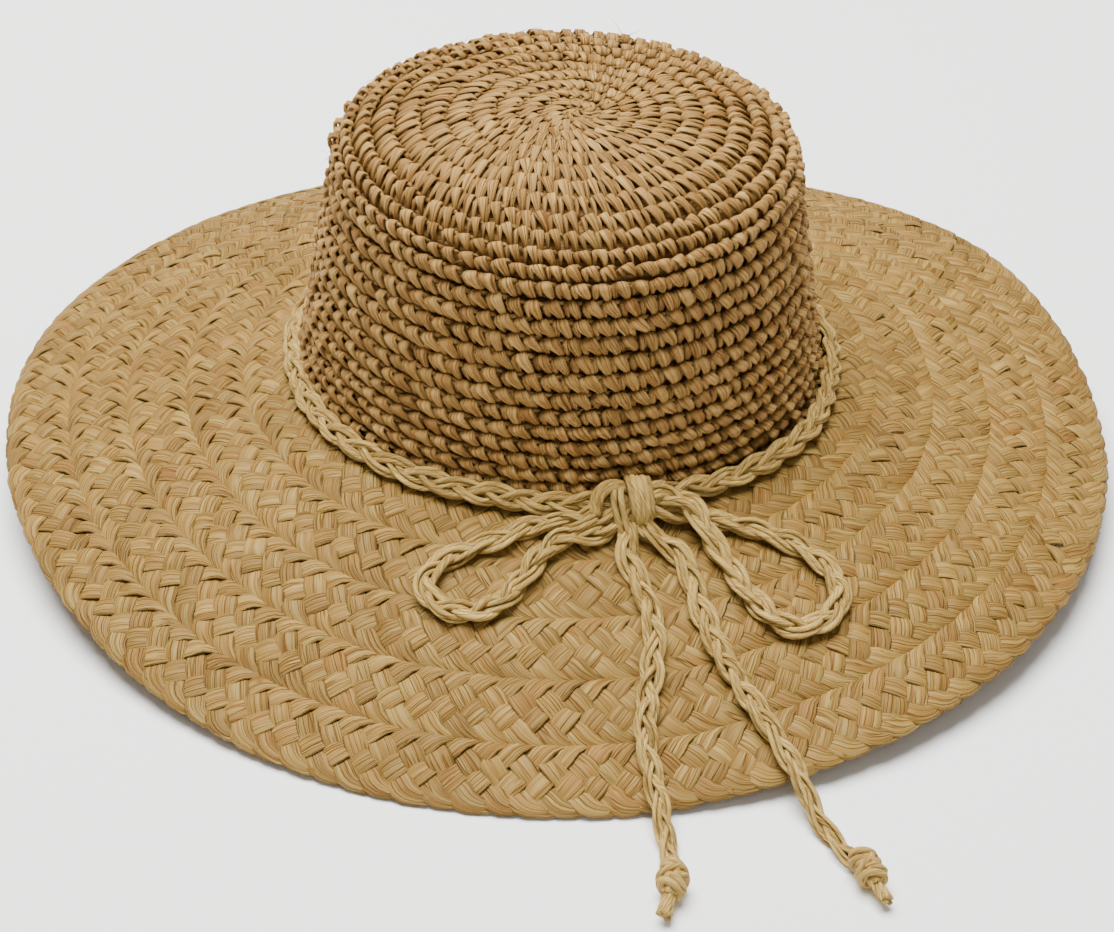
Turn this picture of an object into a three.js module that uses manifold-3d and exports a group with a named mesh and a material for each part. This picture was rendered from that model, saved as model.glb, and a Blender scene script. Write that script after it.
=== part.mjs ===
// Raffia sun hat at its real size, in millimetres, +Z up, resting on the plane z = 0.
// The crown is a crocheted wall, the brim five sewn rounds of flat braid, and a plaited cord goes
// round the foot of the crown and is tied in a bow at the front, which is the -Y side.
// The origin lies on the resting plane, below the middle of the crown.
import * as THREE from 'three';
import { mergeVertices } from 'three/addons/utils/BufferGeometryUtils.js';
import Module from 'manifold-3d';

const wasm = await Module();
wasm.setup();

// Sizes of the crown
const crownFootRadius = 98.1;
const crownShoulderRadius = 85.1;
const crownFootHeight = 43.6;
const crownShoulderHeight = 124.9;
const crownTopHeight = 147.3;
const crownRoundness = 3.42;
const crownWall = 3;
const crownStations = 64;
const sidePoints = 3;
const outerDomePoints = 9;
const innerDomePoints = 7;

// Sizes of the brim
const brimRadius = 209;
const brimWall = 3;
const brimDroop = 1.2;
const brimRounds = 5;
const brimStations = 96;
const seamDepth = 1.2;
const footWidth = 2.5;
const footPress = 0.8;

// How far the rim lifts off the resting plane, all the way round from the +X side
const rimWave = [
  { angle: 0, lift: 15 },
  { angle: 30, lift: 24 },
  { angle: 60, lift: 13.5 },
  { angle: 90, lift: 0 },
  { angle: 120, lift: 7.5 },
  { angle: 150, lift: 14 },
  { angle: 180, lift: 19.5 },
  { angle: 210, lift: 14.3 },
  { angle: 240, lift: 3.2 },
  { angle: 270, lift: 0 },
  { angle: 300, lift: 7.5 },
  { angle: 330, lift: 12.3 },
];

// Sizes of the plaited tie
const gap = 0.3;
const bandRadius = 101.7;
const bandHeight = 47.9;
const bandHalfWidth = 4.2;
const bandHalfThickness = 1.8;
const bandLean = 45;
const bandSlack = 3;
const bandSlackAngle = -38;
const bandSlackSpread = 1.5;
const bandStations = 64;
const bandSides = 8;
const knotAngle = -75.6;
const knotRadius = 106.3;
const knotHeight = 48.8;
const knotHalf = { across: 8.5, up: 8, deep: 5.6 };
const knotOpening = 3;
const cordRadius = 2.3;
const cordSides = 8;
const cordStep = 6;

// Sizes of the knot at the end of each tail, along the cord from its centre
const endKnotRadius = 5.5;
const endKnotHalfLength = 5.6;
const waistRadius = 2.3;
const waistAt = 7.5;
const tuftRadius = 3.1;
const tuftAt = 12.5;
const tuftEndRadius = 2.5;
const endKnotSides = 14;
const endKnotTurns = [-60, -30, 0, 30];

// Points of a solid closer than this are one point when it is cut
const weldDistance = 0.001;

// Routes of the free cords: each row is x, y, z of a point on the centreline
const loopLeftRoute = [
  [24, -102.6, 49.8], [17.5, -106.2, 48.7], [10.2, -108.6, 46.2], [2.3, -108.8, 44.8],
  [-6.5, -109.4, 44.0], [-13.6, -112.4, 42.8], [-21.5, -116.0, 41.3], [-30.4, -119.3, 39.7],
  [-37.6, -123.2, 37.9], [-42.6, -127.9, 35.9], [-43.9, -133.6, 34.0], [-41.4, -138.6, 32.5],
  [-36.0, -142.0, 31.5], [-29.2, -143.6, 31.4], [-23.0, -142.2, 32.3], [-17.8, -138.8, 33.7],
  [-13.0, -133.6, 35.8], [-9.2, -127.9, 37.9], [-5.2, -121.6, 40.2], [-0.6, -116.6, 41.8],
  [4.8, -114.1, 42.5], [10.4, -113.5, 42.7], [15.6, -112.4, 43.3], [19.6, -109.6, 45.2],
  [23.0, -106.4, 46.8],
];
const loopRightRoute = [
  [30, -103.6, 48.4], [36.6, -103.0, 46.6], [43.0, -102.4, 44.9], [50.7, -102.6, 43.2],
  [59.6, -102.8, 42.1], [70.8, -104.4, 40.4], [80.4, -107.2, 38.3], [88.2, -111.2, 36.1],
  [94.5, -117.0, 33.8], [97.9, -124.1, 31.5], [96.9, -131.7, 29.8], [92.9, -137.8, 28.7],
  [87.5, -141.4, 28.3], [81.0, -142.2, 28.8], [75.2, -140.2, 30.1], [70.5, -136.4, 31.9],
  [66.6, -131.8, 33.7], [62.8, -126.3, 35.7], [59.1, -120.3, 37.8], [55.2, -114.2, 40.0],
  [51.4, -108.8, 44.2], [47.8, -104.8, 48.2], [44.0, -101.6, 50.0], [38.6, -99.6, 51.0],
  [32.0, -101.2, 51.4],
];
const tailLeftRoute = [
  [26.6, -106.4, 47.2], [25.4, -110.8, 44.7], [24.4, -115.6, 42.2], [25.2, -121.4, 40.0],
  [27.8, -128.2, 37.5], [30.7, -135.2, 35.2], [33.3, -142.8, 32.6], [34.7, -151.8, 29.2],
  [33.6, -162.2, 25.4], [31.7, -173.0, 21.3], [31.1, -183.4, 17.2], [32.4, -192.9, 13.3],
  [34.2, -201.6, 9.9], [35.9, -208.8, 7.9], [37.3, -215.4, 4.9], [38.4, -222.2, 2.9],
  [39.2, -229.4, 2.7], [39.6, -236.2, 3.6],
];
const tailRightRoute = [
  [28.5, -106.4, 46.4], [31.0, -110.0, 43.6], [35.4, -113.0, 41.9], [40.8, -116.6, 40.4],
  [45.0, -122.6, 38.3], [47.8, -130.6, 35.7], [50.3, -139.6, 32.7], [53.6, -148.9, 29.4],
  [57.8, -157.6, 26.1], [62.4, -165.6, 22.9], [67.6, -173.6, 19.8], [73.2, -181.7, 16.4],
  [78.0, -189.6, 13.1], [81.3, -196.4, 11.0], [84.2, -202.8, 7.6], [87.3, -209.2, 4.2],
  [90.8, -215.8, 2.7], [94.8, -222.4, 2.6], [98.4, -228.6, 3.4],
];
const tailKnotLeft = { centre: [39.7, -240.6, 5.7], tip: [36.9, -255.4, 3.3] };
const tailKnotRight = { centre: [101.2, -233.8, 5.7], tip: [106.9, -246.0, 3.3] };

// Finishes, one for each kind of raffia
const crownRaffia = new THREE.MeshStandardMaterial({ color: 0xb08a58, roughness: 0.85, metalness: 0 });
const brimRaffia = new THREE.MeshStandardMaterial({ color: 0xc8a873, roughness: 0.8, metalness: 0 });
const tieRaffia = new THREE.MeshStandardMaterial({ color: 0xc8b47d, roughness: 0.8, metalness: 0 });

const radians = THREE.MathUtils.degToRad;

// Lift of the rim at an angle in degrees: a smooth curve through the rows of the table,
// pressed flat where the straw meets the surface that it rests on
function rimLift(angle) {
  const count = rimWave.length;
  const place = (((angle % 360) + 360) % 360) * count / 360;
  const row = Math.floor(place) % count;
  const t = place - Math.floor(place);
  const rows = [row - 1, row, row + 1, row + 2];
  const [before, start, end, after] = rows.map((k) => rimWave[(k + count) % count].lift);
  const slopeStart = (end - before) / 2;
  const slopeEnd = (after - start) / 2;
  const cubic = 2 * (start - end) + slopeStart + slopeEnd;
  const square = 3 * (end - start) - 2 * slopeStart - slopeEnd;
  return Math.max(0, start + slopeStart * t + square * t * t + cubic * t * t * t - footPress);
}

// Height of the brim's upper face over the ridges of its rounds
function brimTop(radius, angle) {
  const share = Math.max(0, (radius - crownFootRadius) / (brimRadius - crownFootRadius));
  return crownFootHeight + (rimLift(angle) + brimWall - crownFootHeight) * share ** brimDroop;
}

// One closed section of the brim as [radius, height] rows: out over the crowned rounds,
// down the rim, in along the narrow flat foot and back under the seams
function brimSection(angle) {
  const roundWidth = (brimRadius - crownFootRadius) / brimRounds;
  const top = [[crownFootRadius - crownWall, crownFootHeight]];
  const under = [];
  for (let round = 0; round < brimRounds; round += 1) {
    const start = crownFootRadius + round * roundWidth;
    const groove = round === 0 ? 0 : seamDepth;
    top.push([start, brimTop(start, angle) - groove]);
    top.push([start + roundWidth / 3, brimTop(start + roundWidth / 3, angle)]);
    top.push([start + roundWidth * 2 / 3, brimTop(start + roundWidth * 2 / 3, angle)]);
    under.unshift([start, brimTop(start, angle) - brimWall]);
  }
  const foot = rimLift(angle);
  const rim = [
    [brimRadius, foot + brimWall - seamDepth / 2],
    [brimRadius, foot],
    [brimRadius - footWidth, foot],
  ];
  const inner = [[crownFootRadius - crownWall, crownFootHeight - brimWall]];
  return [...top, ...rim, ...under, ...inner];
}

// A closed ring whose section changes with the angle
function ringSolid(sectionAt, stations) {
  const positions = [];
  const faces = [];
  const side = sectionAt(0).length;
  for (let station = 0; station < stations; station += 1) {
    const angle = station * 360 / stations;
    for (const [radius, height] of sectionAt(angle)) {
      const x = radius * Math.cos(radians(angle));
      const y = radius * Math.sin(radians(angle));
      positions.push(x, y, height);
    }
    const here = station * side;
    const next = ((station + 1) % stations) * side;
    for (let k = 0; k < side; k += 1) {
      const l = (k + 1) % side;
      faces.push(here + k, here + l, next + k, next + k, here + l, next + l);
    }
  }
  const geometry = new THREE.BufferGeometry();
  geometry.setAttribute('position', new THREE.Float32BufferAttribute(positions, 3));
  geometry.setIndex(faces);
  return geometry;
}

// Half profile of a domed wall from its foot to the axis, set in by a wall thickness
function crownProfile(inset, domePoints) {
  const profile = [];
  const foot = crownFootHeight + gap;
  for (let k = 0; k < sidePoints; k += 1) {
    const share = k / sidePoints;
    profile.push(new THREE.Vector2(
      THREE.MathUtils.lerp(crownFootRadius, crownShoulderRadius, share) - inset,
      THREE.MathUtils.lerp(foot, crownShoulderHeight, share),
    ));
  }
  const shoulder = crownShoulderRadius - inset;
  const rise = crownTopHeight - crownShoulderHeight - inset;
  for (let k = 0; k <= domePoints; k += 1) {
    const turn = radians(90 * k / domePoints);
    const out = k === domePoints ? 0 : Math.cos(turn) ** (2 / crownRoundness);
    const up = Math.sin(turn) ** (2 / crownRoundness);
    profile.push(new THREE.Vector2(shoulder * out, crownShoulderHeight + rise * up));
  }
  return profile;
}

function crownSolid() {
  const outside = crownProfile(0, outerDomePoints);
  const inside = crownProfile(crownWall, innerDomePoints).reverse();
  return new THREE.LatheGeometry([...inside, ...outside], crownStations).rotateX(Math.PI / 2);
}

// The band leans on the crown and lies on the brim; its two ends run into the knot
function bandSolid() {
  const section = new THREE.Shape();
  for (let k = 0; k < bandSides; k += 1) {
    const turn = radians(360 * k / bandSides);
    const wide = bandHalfWidth * Math.cos(turn);
    const thick = bandHalfThickness * Math.sin(turn);
    const lean = radians(bandLean);
    const out = wide * Math.cos(lean) + thick * Math.sin(lean);
    const up = thick * Math.cos(lean) - wide * Math.sin(lean);
    if (k === 0) section.moveTo(out, up);
    else section.lineTo(out, up);
  }
  const profile = section.getPoints();
  const positions = [];
  const faces = [];
  const first = knotAngle + knotOpening;
  const sweep = 360 - 2 * knotOpening;
  for (let station = 0; station <= bandStations; station += 1) {
    const angle = first + sweep * station / bandStations;
    const away = THREE.MathUtils.euclideanModulo(angle - bandSlackAngle + 180, 360) - 180;
    const swell = Math.cos(radians(THREE.MathUtils.clamp(away * bandSlackSpread, -90, 90))) ** 2;
    const middle = bandRadius + bandSlack * swell;
    for (const { x: out, y: up } of profile) {
      const x = (middle + out) * Math.cos(radians(angle));
      const y = (middle + out) * Math.sin(radians(angle));
      positions.push(x, y, bandHeight + up);
    }
  }
  const side = profile.length;
  for (let station = 0; station < bandStations; station += 1) {
    const here = station * side;
    const next = here + side;
    for (let k = 0; k < side; k += 1) {
      const l = (k + 1) % side;
      faces.push(here + k, next + k, here + l, next + k, next + l, here + l);
    }
  }
  const last = bandStations * side;
  for (let k = 1; k < side - 1; k += 1) {
    faces.push(0, k, k + 1, last, last + k + 1, last + k);
  }
  const geometry = new THREE.BufferGeometry();
  geometry.setAttribute('position', new THREE.Float32BufferAttribute(positions, 3));
  geometry.setIndex(faces);
  return geometry;
}

// The bow's knot leans with the band; grow makes it larger all round to cut its neighbours back
function bowKnotSolid(grow) {
  return new THREE.SphereGeometry(1, 16, 12)
    .scale(knotHalf.deep + grow, knotHalf.across + grow, knotHalf.up + grow)
    .rotateY(radians(-bandLean))
    .translate(knotRadius, 0, knotHeight)
    .rotateZ(radians(knotAngle));
}

// A knot with its tuft: a turned body along the line from the knot's centre to the tip
function endKnotSolid({ centre, tip }, grow) {
  const from = new THREE.Vector3(...centre);
  const to = new THREE.Vector3(...tip);
  const length = from.distanceTo(to);
  const profile = [new THREE.Vector2(0, -endKnotHalfLength - grow)];
  for (const turn of endKnotTurns) {
    const out = (endKnotRadius + grow) * Math.cos(radians(turn));
    const along = (endKnotHalfLength + grow) * Math.sin(radians(turn));
    profile.push(new THREE.Vector2(out, along));
  }
  profile.push(new THREE.Vector2(waistRadius + grow, waistAt));
  profile.push(new THREE.Vector2(tuftRadius + grow, tuftAt));
  profile.push(new THREE.Vector2(tuftEndRadius + grow, length));
  profile.push(new THREE.Vector2(0, length + grow));
  const upright = new THREE.Vector3(0, 1, 0);
  const heading = new THREE.Quaternion().setFromUnitVectors(upright, to.sub(from).normalize());
  return new THREE.LatheGeometry(profile, endKnotSides)
    .applyQuaternion(heading)
    .translate(...centre);
}

// A round tube along a route
function cordSolid(route) {
  const points = route.map((row) => new THREE.Vector3(...row));
  const curve = new THREE.CatmullRomCurve3(points, false, 'centripetal');
  const section = new THREE.Shape();
  for (let k = 0; k < cordSides; k += 1) {
    const turn = radians(360 * k / cordSides);
    const x = cordRadius * Math.cos(turn);
    const y = cordRadius * Math.sin(turn);
    if (k === 0) section.moveTo(x, y);
    else section.lineTo(x, y);
  }
  const steps = Math.round(curve.getLength() / cordStep);
  return new THREE.ExtrudeGeometry(section, { steps, extrudePath: curve, bevelEnabled: false });
}

// Turns a closed geometry into a solid that can be cut
function toManifold(geometry) {
  const bare = geometry.clone();
  bare.deleteAttribute('normal');
  bare.deleteAttribute('uv');
  const merged = mergeVertices(bare, weldDistance);
  return new wasm.Manifold(new wasm.Mesh({
    numProp: 3,
    vertProperties: new Float32Array(merged.attributes.position.array),
    triVerts: new Uint32Array(merged.index.array),
  }));
}

// Cuts a geometry back from its neighbours, which are given a little larger than they are
function cutBack(geometry, ...neighbours) {
  let solid = toManifold(geometry);
  for (const neighbour of neighbours) solid = solid.subtract(toManifold(neighbour));
  const mesh = solid.getMesh();
  const cut = new THREE.BufferGeometry();
  cut.setAttribute('position', new THREE.Float32BufferAttribute(mesh.vertProperties, 3));
  cut.setIndex([...mesh.triVerts]);
  return cut;
}

const hat = new THREE.Group();
hat.name = 'raffia_sun_hat';

function add(name, geometry, material) {
  const mesh = new THREE.Mesh(geometry, material);
  mesh.name = name;
  hat.add(mesh);
}

const besideKnot = bowKnotSolid(gap);
add('crown', crownSolid(), crownRaffia);
add('brim', ringSolid(brimSection, brimStations), brimRaffia);
add('tie_band', cutBack(bandSolid(), besideKnot), tieRaffia);
add('bow_knot', bowKnotSolid(0), tieRaffia);
add('bow_loop_left', cutBack(cordSolid(loopLeftRoute), besideKnot), tieRaffia);
add('bow_loop_right', cutBack(cordSolid(loopRightRoute), besideKnot), tieRaffia);

// Each tail stops just short of the knot at its end
const tails = [
  { side: 'left', route: tailLeftRoute, knot: tailKnotLeft },
  { side: 'right', route: tailRightRoute, knot: tailKnotRight },
];
for (const { side, route, knot } of tails) {
  add(`tail_${side}`, cutBack(cordSolid(route), besideKnot, endKnotSolid(knot, gap)), tieRaffia);
  add(`tail_knot_${side}`, endKnotSolid(knot, 0), tieRaffia);
}

export default hat;
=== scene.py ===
"""A raffia sun hat: a crocheted crown, a brim of sewn flat braid and a plaited tie with a bow.

Lengths are metres, +Z is up, the bow is on the -Y side and the origin lies below the crown.
"""

import math

import bmesh
import bpy
import numpy as np
from mathutils import Matrix, Vector


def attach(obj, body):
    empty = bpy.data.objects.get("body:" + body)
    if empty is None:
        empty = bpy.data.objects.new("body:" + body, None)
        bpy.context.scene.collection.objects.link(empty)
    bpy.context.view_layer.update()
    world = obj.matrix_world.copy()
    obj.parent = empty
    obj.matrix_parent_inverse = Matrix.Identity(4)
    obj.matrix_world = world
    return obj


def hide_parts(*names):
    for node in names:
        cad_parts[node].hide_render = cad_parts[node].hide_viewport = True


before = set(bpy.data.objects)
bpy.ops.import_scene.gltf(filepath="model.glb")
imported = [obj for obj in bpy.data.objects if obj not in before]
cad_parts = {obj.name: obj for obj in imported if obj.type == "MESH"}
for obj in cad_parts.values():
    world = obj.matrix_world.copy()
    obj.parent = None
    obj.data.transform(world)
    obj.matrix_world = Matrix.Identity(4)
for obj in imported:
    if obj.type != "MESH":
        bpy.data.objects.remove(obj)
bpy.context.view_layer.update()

MM = 0.001

bl_info = {
    "name": "Raffia Sun Hat",
    "version": (1, 0, 0),
    "blender": (4, 5, 0),
    "location": "3D View > Sidebar > Raffia Hat",
    "description": "Builds the braided brim, crocheted crown and plaited tie of a raffia sun hat",
    "category": "Object",
}

# The hat's main form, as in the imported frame, but with the crown's edge rounder, most in front
FOOT_RADIUS = 98.1 * MM
SHOULDER_RADIUS = 85.1 * MM
FOOT_HEIGHT = 43.6 * MM
SHOULDER_HEIGHT = 124.9 * MM
TOP_HEIGHT = 147.3 * MM
CROWN_ROUNDNESS = 3.2
FRONT_ROUNDNESS = 2.6
FRONT_SHOULDER_HEIGHT = 118 * MM
# The larger, the closer to the front the rounder edge stays
FRONT_NEARNESS = 1.5
# Points over the crown's top and down its side, which ends at this share of it, just past the foot
TOP_POINTS = 400
SIDE_POINTS = 300
SIDE_END = 1.05
# Points on the finished profile, and how many its outward direction is blurred over
LINE_POINTS = 700
LINE_BLUR = 15
BRIM_RADIUS = 209 * MM
BRIM_WALL = 3 * MM
BRIM_DROOP = 1.2
RIM_PRESS = 0.8 * MM
# Lift of the rim every 30 degrees from +X, in millimetres
RIM_LIFTS = np.array([15, 24, 13.5, 0, 7.5, 14, 19.5, 14.3, 3.2, 0, 7.5, 12.3])

# Crochet rounds: distance of each round from the tip, along the crown, in millimetres
CROCHET_ROUNDS = np.array([
    0, 5.5, 13.3, 20.5, 28.3, 36.4, 44.6, 53.7, 63.0, 71.6, 79.6, 86.3, 92.6, 99.7,
    106.9, 113.4, 120.3, 127.4, 134.4, 140.9, 147.2, 153.0, 158.5, 163.9, 169.4, 174.6, 179.6,
])

# The crochet starts a little to the right of the crown's middle
TIP_SHIFT = 4.3 * MM

# Crossings along each of the five rounds of flat braid, from the crown out
BRAID_PITCHES = (71, 86, 100, 115, 130)
BRAID_START = math.radians(-37)

# Centrelines of the free cords, in millimetres
ROUTES = {
    "bow_loop_left": [
        (24, -102.6, 49.8), (17.5, -106.2, 48.7), (10.2, -108.6, 46.2), (2.3, -108.8, 44.8),
        (-6.5, -109.4, 44.0), (-13.6, -112.4, 42.8), (-21.5, -116.0, 41.3), (-30.4, -119.3, 39.7),
        (-37.6, -123.2, 37.9), (-42.6, -127.9, 35.9), (-43.9, -133.6, 34.0), (-41.4, -138.6, 32.5),
        (-36.0, -142.0, 31.5), (-29.2, -143.6, 31.4), (-23.0, -142.2, 32.3), (-17.8, -138.8, 33.7),
        (-13.0, -133.6, 35.8), (-9.2, -127.9, 37.9), (-5.2, -121.6, 40.2), (-0.6, -116.6, 41.8),
        (4.8, -114.1, 42.5), (10.4, -113.5, 42.7), (15.6, -112.4, 43.3), (19.6, -109.6, 45.2),
        (23.0, -106.4, 46.8),
    ],
    "bow_loop_right": [
        (30, -103.6, 48.4), (36.6, -103.0, 46.6), (43.0, -102.4, 44.9), (50.7, -102.6, 43.2),
        (59.6, -102.8, 42.1), (70.8, -104.4, 40.4), (80.4, -107.2, 38.3), (88.2, -111.2, 36.1),
        (94.5, -117.0, 33.8), (97.9, -124.1, 31.5), (96.9, -131.7, 29.8), (92.9, -137.8, 28.7),
        (87.5, -141.4, 28.3), (81.0, -142.2, 28.8), (75.2, -140.2, 30.1), (70.5, -136.4, 31.9),
        (66.6, -131.8, 33.7), (62.8, -126.3, 35.7), (59.1, -120.3, 37.8), (55.2, -114.2, 40.0),
        (51.4, -108.8, 44.2), (47.8, -104.8, 48.2), (44.0, -101.6, 50.0), (38.6, -99.6, 51.0),
        (32.0, -101.2, 51.4),
    ],
    "tail_left": [
        (26.6, -106.4, 47.2), (25.4, -110.8, 44.7), (24.4, -115.6, 42.2), (25.2, -121.4, 40.0),
        (27.8, -128.2, 37.5), (30.7, -135.2, 35.2), (33.3, -142.8, 32.6), (34.7, -151.8, 29.2),
        (33.6, -162.2, 25.4), (31.7, -173.0, 21.3), (31.1, -183.4, 17.2), (32.4, -192.9, 13.3),
        (34.2, -201.6, 9.9), (35.9, -208.8, 7.9), (37.3, -215.4, 4.9), (38.4, -222.2, 2.9),
        (39.2, -229.4, 2.7), (39.6, -236.2, 3.6),
    ],
    "tail_right": [
        (28.5, -106.4, 46.4), (31.0, -110.0, 43.6), (35.4, -113.0, 41.9), (40.8, -116.6, 40.4),
        (45.0, -122.6, 38.3), (47.8, -130.6, 35.7), (50.3, -139.6, 32.7), (53.6, -148.9, 29.4),
        (57.8, -157.6, 26.1), (62.4, -165.6, 22.9), (67.6, -173.6, 19.8), (73.2, -181.7, 16.4),
        (78.0, -189.6, 13.1), (81.3, -196.4, 11.0), (84.2, -202.8, 7.6), (87.3, -209.2, 4.2),
        (90.8, -215.8, 2.7), (94.8, -222.4, 2.6), (98.4, -228.6, 3.4),
    ],
}
# Centre of each end knot and the tip of its tuft, in millimetres
END_KNOTS = {
    "tail_left": ((39.7, -240.6, 6.3), (36.9, -255.4, 3.9)),
    "tail_right": ((101.2, -233.8, 6.4), (106.9, -246.0, 4.0)),
}

# A ply wanders and swells along its run: by how much, and over what length it does so
PLY_WAVER = 0.16 * MM
PLY_WAVER_RUN = 7 * MM
PLY_SWELL = 0.07
PLY_SWELL_RUN = 2.6 * MM

# The plies of a strand lie round its middle, from this angle on, and wind as they go
STRAND_START = 0.4
STRAND_WINDING = 24 * MM
# No turn of the plait is quite as long as the next: by how much, in radians, and over what length
PLAIT_UNEVENNESS = 0.35
PLAIT_UNEVENNESS_RUN = 17 * MM

# The tie where it rounds the crown, and its knot
BAND_RADIUS = 101.7 * MM
BAND_HEIGHT = 47.9 * MM
BAND_LEAN = math.radians(45)
BAND_SLACK = 3 * MM
BAND_SLACK_ANGLE = math.radians(-38)
KNOT_ANGLE = math.radians(-75.6)
KNOT_RADIUS = 106.3 * MM
KNOT_HEIGHT = 48.8 * MM
KNOT_OPENING = math.radians(3)


def linear(code):
    """An sRGB hex colour as the linear RGBA that Blender works in."""
    parts = [int(code[k:k + 2], 16) / 255 for k in (0, 2, 4)]
    return [p / 12.92 if p <= 0.04045 else ((p + 0.055) / 1.055) ** 2.4 for p in parts] + [1.0]


def colour_property(name, description, code):
    return bpy.props.FloatVectorProperty(
        name=name, description=description, subtype="COLOR", size=4, min=0, max=1,
        default=linear(code),
    )


def length_property(name, description, millimetres):
    return bpy.props.FloatProperty(
        name=name, description=description, unit="LENGTH", subtype="DISTANCE", min=0,
        default=millimetres * MM,
    )


class RaffiaHatSizes(bpy.types.PropertyGroup):
    """Sizes of the straw that the hat is made of"""

    braid_cover: bpy.props.FloatProperty(
        name="Brim strand", description="Width of a brim strand as a share of the room that it has",
        default=1.19, min=0.5, max=2,
    )
    braid_half_depth: length_property("Brim strand depth", "Half the thickness of a brim strand", 0.75)
    braid_lift: length_property("Brim weave", "How far a brim strand rises over the others", 0.68)
    braid_overrun: length_property("Brim folds", "How far each fold bulges over the braid's edge", 1.0)
    seam_dip: length_property("Brim seams", "How far the braid sinks towards its sewn edges", 1.3)
    brim_stand: length_property("Brim relief", "How far the strands stand over the brim's face", 0.5)
    stitch_depth: length_property("Crochet depth", "How deep the foot of a stitch lies in", 3.1)
    ply_half_width: length_property("Tie ply", "Half the width of one ply of the tie", 1.03)
    ply_half_depth: length_property("Tie ply depth", "Half the thickness of one ply of the tie", 0.88)
    plait_half_width: length_property("Tie", "Half the width of the plaited tie", 4.3)
    plait_half_depth: length_property("Tie depth", "Half the thickness of the plaited tie", 2.5)
    plait_pitch: length_property("Tie pitch", "Length in which a strand of the plait comes back", 38)
    floor_size: length_property("Floor", "Width of the floor", 8000)
    seed: bpy.props.IntProperty(
        name="Seed", description="Start of the small unevenness of the straw", default=7, min=0,
    )


class RaffiaHatColours(bpy.types.PropertyGroup):
    """Colours of the straw and the floor"""

    brim: colour_property("Brim", "Middle tone of the brim's raffia", "8D6B31")
    brim_pale: colour_property("Brim, pale", "Pale fibres of the brim's raffia", "9C8244")
    brim_dark: colour_property("Brim, dark", "Dark fibres of the brim's raffia", "815E27")
    crown: colour_property("Crown", "Middle tone of the crown's raffia", "A57C42")
    crown_pale: colour_property("Crown, pale", "Pale fibres of the crown's raffia", "B99759")
    crown_dark: colour_property("Crown, dark", "Dark fibres of the crown's raffia", "7F531E")
    tie: colour_property("Tie", "Middle tone of the tie's raffia", "BF9D56")
    tie_pale: colour_property("Tie, pale", "Pale fibres of the tie's raffia", "D5B76E")
    tie_dark: colour_property("Tie, dark", "Dark fibres of the tie's raffia", "936C30")
    rust: colour_property("Rust", "Fibres that dried reddish brown", "8B5D27")
    floor: colour_property("Floor", "Plain floor", "FCFCFA")


def sizes():
    return bpy.context.scene.raffia_hat_sizes


def colours():
    return bpy.context.scene.raffia_hat_colours


# Surfaces that the straw is laid on


def rim_lift(angle):
    """Height of the rim's underside over the floor, a smooth curve through the table."""
    lifts = RIM_LIFTS * MM
    place = np.mod(angle, 2 * math.pi) * len(lifts) / (2 * math.pi)
    row = np.floor(place).astype(int)
    t = place - row
    before, start, end, after = (lifts[(row + k) % len(lifts)] for k in (-1, 0, 1, 2))
    slope_start = (end - before) / 2
    slope_end = (after - start) / 2
    cubic = 2 * (start - end) + slope_start + slope_end
    square = 3 * (end - start) - 2 * slope_start - slope_end
    return np.maximum(0, start + slope_start * t + square * t**2 + cubic * t**3 - RIM_PRESS)


def brim_top(radius, angle):
    """Height of the brim's upper face over the middle of its rounds."""
    share = np.maximum(0, (radius - FOOT_RADIUS) / (BRIM_RADIUS - FOOT_RADIUS))
    return FOOT_HEIGHT + (rim_lift(angle) + BRIM_WALL - FOOT_HEIGHT) * share**BRIM_DROOP


def brim_slope(radius, angle):
    return (brim_top(radius + MM, angle) - brim_top(radius - MM, angle)) / (2 * MM)


def on_brim(radius, angle, rise):
    """A point that stands off the brim's upper face, square to it."""
    slope = brim_slope(radius, angle)
    share = 1 / np.sqrt(1 + slope**2)
    out = radius - slope * share * rise
    return np.stack(
        [out * np.cos(angle), out * np.sin(angle), brim_top(radius, angle) + share * rise], -1
    )


def crown_line(roundness, shoulder_height, shoulder_distance=None):
    """The crown's half profile from its tip: distance, radius, height and outward direction.

    A shoulder distance stretches the distances over the top, so that a line with a lower shoulder
    reaches each height of the side at the same distance as the others.
    """
    taper = (FOOT_RADIUS - SHOULDER_RADIUS) / (SHOULDER_HEIGHT - FOOT_HEIGHT)
    shoulder_radius = FOOT_RADIUS - taper * (shoulder_height - FOOT_HEIGHT)
    turn = np.radians(np.linspace(90, 0, TOP_POINTS))
    radius = shoulder_radius * np.maximum(0, np.cos(turn)) ** (2 / roundness)
    height = shoulder_height + (TOP_HEIGHT - shoulder_height) * np.sin(turn) ** (2 / roundness)
    radius[0] = 0
    side = np.linspace(0, SIDE_END, SIDE_POINTS)[1:]
    radius = np.concatenate([radius, shoulder_radius + (FOOT_RADIUS - shoulder_radius) * side])
    height = np.concatenate([height, shoulder_height + (FOOT_HEIGHT - shoulder_height) * side])
    distance = np.concatenate([[0], np.cumsum(np.hypot(np.diff(radius), np.diff(height)))])
    if shoulder_distance:
        reached = distance[len(turn) - 1]
        over_top = distance * shoulder_distance / reached
        distance = np.where(distance < reached, over_top, distance - reached + shoulder_distance)
    even = np.linspace(0, distance[-1], LINE_POINTS)
    radius = np.interp(even, distance, radius)
    height = np.interp(even, distance, height)
    # The far side of the tip is added, so that straw can lie across it
    even = np.concatenate([-even[:0:-1], even])
    radius = np.concatenate([-radius[:0:-1], radius])
    height = np.concatenate([height[:0:-1], height])
    blur = np.ones(LINE_BLUR) / LINE_BLUR
    out, up = (
        np.convolve(np.pad(slope, LINE_BLUR // 2, mode="edge"), blur, "valid")
        for slope in (-np.gradient(height, even), np.gradient(radius, even))
    )
    size = np.hypot(out, up)
    return even, radius, height, out / size, up / size


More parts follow.
